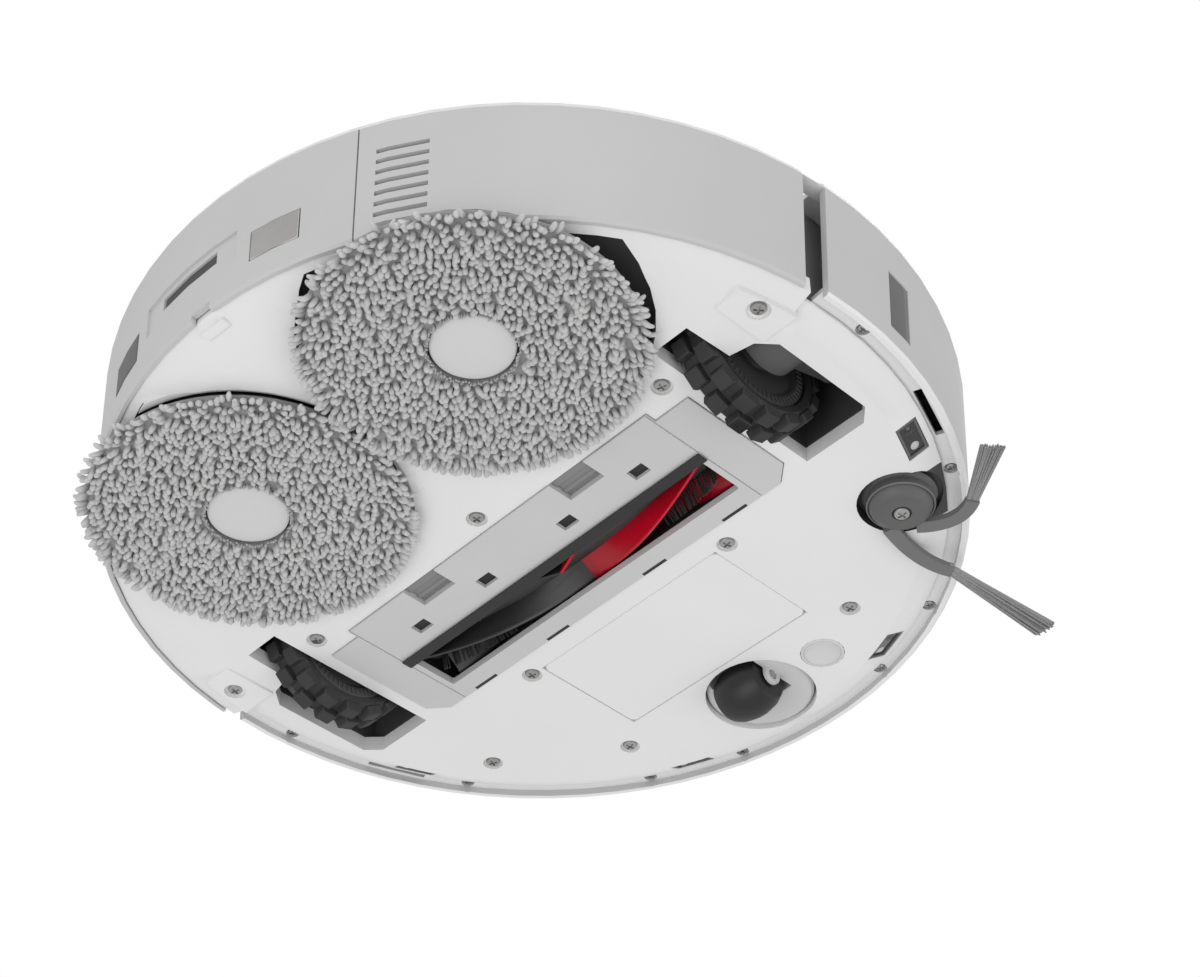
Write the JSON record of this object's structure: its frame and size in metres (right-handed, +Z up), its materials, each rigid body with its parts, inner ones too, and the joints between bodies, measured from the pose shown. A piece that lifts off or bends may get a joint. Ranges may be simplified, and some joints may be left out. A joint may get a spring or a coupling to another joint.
{
  "type": "robot vacuum",
  "caption": "Round robot vacuum with sprung front bumper, drive wheels, swivel caster, roller brush, side brush, spinning mop pads and a laser turret on its deck.",
  "frame": {"origin": "on the floor, under the middle of the round body", "axes": "+Z up; the front, with the bumper, faces -Y; the machine's own right-hand side is -X and its rear +Y"},
  "size_m": [0.35, 0.35, 0.098],
  "materials": {
    "white_plastic": "satin",
    "grey_plastic": "satin",
    "charcoal_plastic": "matte",
    "black_window": "gloss",
    "black_rubber": "matte",
    "red_rubber": "satin",
    "grey_bristle": "matte",
    "mop_pile": "matte",
    "steel": "satin",
    "circuit_board": "satin",
    "battery_cells": "satin"
  },
  "bodies": {
    "chassis": {"base_plate": "white_plastic", "side_wall": "grey_plastic", "deck": "white_plastic", "bumper_backing": "charcoal_plastic", "docking_port": "charcoal_plastic", "charge_contact_right": "steel", "charge_contact_left": "charcoal_plastic", "wheel_well_right": "charcoal_plastic", "wheel_well_left": "charcoal_plastic", "cliff_sensor_rear_right": "black_window", "cliff_sensor_front_right": "black_window", "cliff_sensor_front_left": "black_window", "cliff_sensor_rear_left": "black_window", "carpet_sensor": "white_plastic", "battery_door": "white_plastic", "battery_pack": "battery_cells", "dust_bin": "charcoal_plastic", "dust_filter": "mop_pile", "turret_tower": "white_plastic", "brush_chamber": "charcoal_plastic", "main_board": "circuit_board", "suction_fan": "charcoal_plastic", "roller_motor": "steel", "side_brush_motor": "steel"},
    "bumper": {"bumper_shell": "grey_plastic", "bumper_side_window": "black_window", "bumper_front_window": "black_window"},
    "lid": {"dust_lid": "white_plastic"},
    "power_button": {"power_button": "grey_plastic"},
    "home_button": {"home_button": "grey_plastic"},
    "turret_rotor": {"turret_rotor": "charcoal_plastic"},
    "arm_right": {"wheel_arm_right": "charcoal_plastic"},
    "wheel_right": {"wheel_hub_right": "charcoal_plastic", "wheel_tyre_right": "black_rubber"},
    "arm_left": {"wheel_arm_left": "charcoal_plastic"},
    "wheel_left": {"wheel_hub_left": "charcoal_plastic", "wheel_tyre_left": "black_rubber"},
    "caster_swivel": {"caster_fork": "grey_plastic", "caster_axle": "steel"},
    "caster_wheel": {"caster_wheel": "charcoal_plastic"},
    "roller": {"roller_core": "charcoal_plastic", "roller_fins_red": "red_rubber", "roller_fins_black": "black_rubber"},
    "brush_cover": {"brush_cover": "grey_plastic", "scraper_strip": "black_rubber"},
    "latch_right": {"cover_latch_right": "grey_plastic"},
    "latch_left": {"cover_latch_left": "grey_plastic"},
    "side_brush": {"side_brush_hub": "charcoal_plastic", "side_brush_screw": "steel", "side_brush_arms": "grey_bristle"},
    "mop_carriage": {"mop_carriage": "charcoal_plastic"},
    "mop_arm": {"mop_swing_arm": "charcoal_plastic"},
    "mop_right": {"mop_plate_right": "charcoal_plastic", "mop_pad_right": "mop_pile", "mop_cap_right": "grey_plastic"},
    "mop_left": {"mop_plate_left": "charcoal_plastic", "mop_pad_left": "mop_pile", "mop_cap_left": "grey_plastic"}
  },
  "joints": [
    {"name": "bumper_press", "type": "slide", "parent": "chassis", "child": "bumper", "axis": [0, 1, 0], "range_m": [0, 0.003], "stiffness_N_per_m": 600, "springref_m": -0.001},
    {"name": "lid_open", "type": "hinge", "parent": "chassis", "child": "lid", "pos_m": [0, -0.043, 0.08], "axis": [-1, 0, 0], "range_deg": [0, 75]},
    {"name": "power_press", "type": "slide", "parent": "chassis", "child": "power_button", "axis": [0, 0, -1], "range_m": [0, 0.0008], "stiffness_N_per_m": 400, "springref_m": -0.0005},
    {"name": "home_press", "type": "slide", "parent": "chassis", "child": "home_button", "axis": [0, 0, -1], "range_m": [0, 0.0008], "stiffness_N_per_m": 400, "springref_m": -0.0005},
    {"name": "turret_spin", "type": "hinge", "parent": "chassis", "child": "turret_rotor", "pos_m": [0, 0.078, 0.08], "axis": [0, 0, 1], "continuous": true},
    {"name": "wheel_drop_right", "type": "hinge", "parent": "chassis", "child": "arm_right", "pos_m": [-0.1355, -0.028, 0.044], "axis": [-1, 0, 0], "range_deg": [0, 20]},
    {"name": "wheel_spin_right", "type": "hinge", "parent": "arm_right", "child": "wheel_right", "pos_m": [-0.1195, 0.004, 0.034], "axis": [1, 0, 0], "continuous": true},
    {"name": "wheel_drop_left", "type": "hinge", "parent": "chassis", "child": "arm_left", "pos_m": [0.1355, -0.028, 0.044], "axis": [-1, 0, 0], "range_deg": [0, 20]},
    {"name": "wheel_spin_left", "type": "hinge", "parent": "arm_left", "child": "wheel_left", "pos_m": [0.1195, 0.004, 0.034], "axis": [1, 0, 0], "continuous": true},
    {"name": "caster_turn", "type": "hinge", "parent": "chassis", "child": "caster_swivel", "pos_m": [0, -0.13, 0.02], "axis": [0, 0, 1], "continuous": true},
    {"name": "caster_roll", "type": "hinge", "parent": "caster_swivel", "child": "caster_wheel", "pos_m": [0, -0.122, 0.0125], "axis": [1, 0, 0], "continuous": true},
    {"name": "roller_spin", "type": "hinge", "parent": "chassis", "child": "roller", "pos_m": [0, -0.018, 0.0315], "axis": [1, 0, 0], "continuous": true},
    {"name": "cover_open", "type": "hinge", "parent": "chassis", "child": "brush_cover", "pos_m": [0, -0.04, 0.0132], "axis": [-1, 0, 0], "range_deg": [0, 70]},
    {"name": "latch_press_right", "type": "slide", "parent": "brush_cover", "child": "latch_right", "axis": [0, -1, 0], "range_m": [0, 0.002], "stiffness_N_per_m": 300, "springref_m": -0.0005},
    {"name": "latch_press_left", "type": "slide", "parent": "brush_cover", "child": "latch_left", "axis": [0, -1, 0], "range_m": [0, 0.002], "stiffness_N_per_m": 300, "springref_m": -0.0005},
    {"name": "side_brush_spin", "type": "hinge", "parent": "chassis", "child": "side_brush", "pos_m": [-0.1195, -0.082, 0.014], "axis": [0, 0, 1], "continuous": true, "deforming": ["side_brush_arms"]},
    {"name": "mop_lift", "type": "slide", "parent": "chassis", "child": "mop_carriage", "axis": [0, 0, 1], "range_m": [-0.0075, 0]},
    {"name": "mop_swing", "type": "hinge", "parent": "mop_carriage", "child": "mop_arm", "pos_m": [-0.0503, 0.134, 0.0185], "axis": [0, 0, -1], "range_deg": [0, 10]},
    {"name": "mop_spin_right", "type": "hinge", "parent": "mop_arm", "child": "mop_right", "pos_m": [-0.0703, 0.094, 0.012], "axis": [0, 0, 1], "continuous": true},
    {"name": "mop_spin_left", "type": "hinge", "parent": "mop_carriage", "child": "mop_left", "pos_m": [0.0555, 0.098, 0.012], "axis": [0, 0, 1], "continuous": true}
  ]
}
